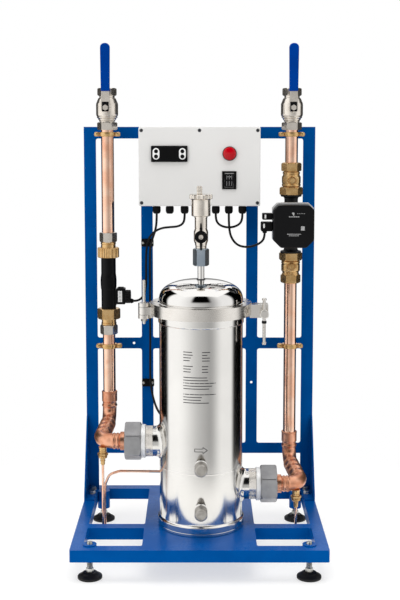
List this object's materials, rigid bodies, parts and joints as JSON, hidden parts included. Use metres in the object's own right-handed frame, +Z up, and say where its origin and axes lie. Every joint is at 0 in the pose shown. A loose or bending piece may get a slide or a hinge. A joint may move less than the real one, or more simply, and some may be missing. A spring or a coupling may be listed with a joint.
{
  "type": "magnetic system filter",
  "caption": "Floor-standing magnetic filter skid: stainless clamp-lid vessel, copper pipework, pump, lever valves, flow sensor and control box on a blue frame.",
  "frame": {"origin": "on the floor, under the middle of the base frame and on the vessel's fore-and-aft line", "axes": "+Z up, -Y towards the control box's face, +X to the right seen from the front"},
  "size_m": [0.52, 0.404, 1.087],
  "materials": {
    "blue_powder_coat": "satin powder coat",
    "zinc_steel": "zinc plated",
    "foot_rubber": "matt",
    "polished_stainless": "polished",
    "satin_stainless": "satin",
    "gasket_rubber": "matt",
    "cast_nut_grey": "matt, tumbled",
    "copper": "bright drawn copper",
    "brass": "cast and turned",
    "nickel": "nickel plated",
    "black_plastic": "moulded",
    "white_plastic": "moulded",
    "box_grey": "moulded, light grey",
    "pump_black": "moulded",
    "cast_black": "coated casting",
    "red_lens": "tinted, glossy",
    "cable_black": "smooth sheath"
  },
  "bodies": {
    "skid": {"base_frame": "blue_powder_coat", "upright_frame": "blue_powder_coat", "frame_fasteners": "zinc_steel", "vessel_shell": "polished_stainless", "vessel_lid": "polished_stainless", "lid_gasket": "gasket_rubber", "clamp_rear_half": "satin_stainless", "clamp_hinge_pin": "satin_stainless", "magnet_cartridge": "satin_stainless", "vessel_plugs": "satin_stainless", "port_union_nuts": "cast_nut_grey", "copper_pipes": "copper", "copper_elbows": "copper", "pipe_clips": "brass", "left_valve_body": "nickel", "right_valve_body": "nickel", "flow_sensor_body": "black_plastic", "flow_unions": "brass", "sensor_connector": "black_plastic", "pump_volute": "cast_black", "pump_motor": "pump_black", "pump_plugs": "black_plastic", "pump_valves": "brass", "control_box": "box_grey", "control_box_lid": "box_grey", "lid_screws": "black_plastic", "controller": "black_plastic", "alarm_lamp": "red_lens", "rocker_frame": "black_plastic", "cable_glands": "black_plastic", "vent_coupling": "satin_stainless", "vent_valve": "nickel", "vent_body": "nickel", "drain_cocks": "brass", "drain_tubes": "copper", "pump_cable": "cable_black", "loop_cable": "cable_black", "sensor_cable": "cable_black", "probe_cable": "cable_black", "cable_clips": "black_plastic"},
    "left_lever_group": {"left_lever": "nickel", "left_valve_ball": "nickel"},
    "right_lever_group": {"right_lever": "nickel", "right_valve_ball": "nickel"},
    "vent_handle_body": {"vent_handle": "black_plastic"},
    "vent_float_body": {"vent_float": "white_plastic"},
    "upper_spindle_body": {"upper_valve_spindle": "brass"},
    "lower_spindle_body": {"lower_valve_spindle": "brass"},
    "pump_rotor_body": {"pump_rotor": "satin_stainless"},
    "turbine_body": {"flow_turbine": "white_plastic"},
    "rocker_body": {"rocker": "black_plastic"},
    "left_key_body": {"left_key": "black_plastic"},
    "right_key_body": {"right_key": "black_plastic"},
    "clamp_front": {"clamp_front_half": "satin_stainless"},
    "clamp_screw_body": {"clamp_screw": "satin_stainless"},
    "t_bar_body": {"clamp_t_bar": "satin_stainless"},
    "foot_front_left_body": {"foot_front_left": "foot_rubber"},
    "foot_front_right_body": {"foot_front_right": "foot_rubber"},
    "foot_rear_left_body": {"foot_rear_left": "foot_rubber"},
    "foot_rear_right_body": {"foot_rear_right": "foot_rubber"}
  },
  "joints": [
    {"name": "left_lever_swing", "type": "hinge", "parent": "skid", "child": "left_lever_group", "pos_m": [-0.2035, 0.172, 0.949], "axis": [0, 1, 0], "range_deg": [0, 90]},
    {"name": "right_lever_swing", "type": "hinge", "parent": "skid", "child": "right_lever_group", "pos_m": [0.2035, 0.172, 0.949], "axis": [0, 1, 0], "range_deg": [0, 90]},
    {"name": "vent_handle_turn", "type": "hinge", "parent": "skid", "child": "vent_handle_body", "pos_m": [0.003, -0.02, 0.683], "axis": [0, 1, 0], "range_deg": [0, 90]},
    {"name": "vent_float_rise", "type": "slide", "parent": "skid", "child": "vent_float_body", "axis": [0, 0, 1], "range_m": [0, 0.009]},
    {"name": "upper_spindle_turn", "type": "hinge", "parent": "skid", "child": "upper_spindle_body", "pos_m": [0.2035, 0.172, 0.79], "axis": [0, 1, 0], "range_deg": [0, 90]},
    {"name": "lower_spindle_turn", "type": "hinge", "parent": "skid", "child": "lower_spindle_body", "pos_m": [0.2035, 0.172, 0.599], "axis": [0, 1, 0], "range_deg": [0, 90]},
    {"name": "pump_spin", "type": "hinge", "parent": "skid", "child": "pump_rotor_body", "pos_m": [0.2035, 0.14, 0.695], "axis": [0, 1, 0], "continuous": true},
    {"name": "turbine_spin", "type": "hinge", "parent": "skid", "child": "turbine_body", "pos_m": [-0.2035, 0.172, 0.562], "axis": [0, 0, 1], "continuous": true},
    {"name": "rocker_tip", "type": "hinge", "parent": "skid", "child": "rocker_body", "pos_m": [0.0645, 0.121, 0.7925], "axis": [1, 0, 0], "range_deg": [-16, 0]},
    {"name": "left_key_rock", "type": "hinge", "parent": "skid", "child": "left_key_body", "pos_m": [-0.094, 0.1165, 0.8495], "axis": [1, 0, 0], "range_deg": [-4, 4], "stiffness_Nm_per_rad": 0.3},
    {"name": "right_key_rock", "type": "hinge", "parent": "skid", "child": "right_key_body", "pos_m": [-0.037, 0.1165, 0.8495], "axis": [1, 0, 0], "range_deg": [-4, 4], "stiffness_Nm_per_rad": 0.3},
    {"name": "clamp_swing", "type": "hinge", "parent": "skid", "child": "clamp_front", "pos_m": [-0.116, 0, 0.532], "axis": [0, 0, 1], "range_deg": [-100, 0]},
    {"name": "screw_turn", "type": "hinge", "parent": "clamp_front", "child": "clamp_screw_body", "pos_m": [0.134, -0.022, 0.523], "axis": [0, 1, 0], "range_deg": [-28, 28]},
    {"name": "tbar_slide", "type": "slide", "parent": "clamp_screw_body", "child": "t_bar_body", "axis": [0, 0, 1], "range_m": [-0.018, 0.004]},
    {"name": "foot_fl", "type": "slide", "parent": "skid", "child": "foot_front_left_body", "axis": [0, 0, 1], "range_m": [-0.012, 0.006]},
    {"name": "foot_fr", "type": "slide", "parent": "skid", "child": "foot_front_right_body", "axis": [0, 0, 1], "range_m": [-0.012, 0.006]},
    {"name": "foot_rl", "type": "slide", "parent": "skid", "child": "foot_rear_left_body", "axis": [0, 0, 1], "range_m": [-0.012, 0.006]},
    {"name": "foot_rr", "type": "slide", "parent": "skid", "child": "foot_rear_right_body", "axis": [0, 0, 1], "range_m": [-0.012, 0.006]}
  ]
}
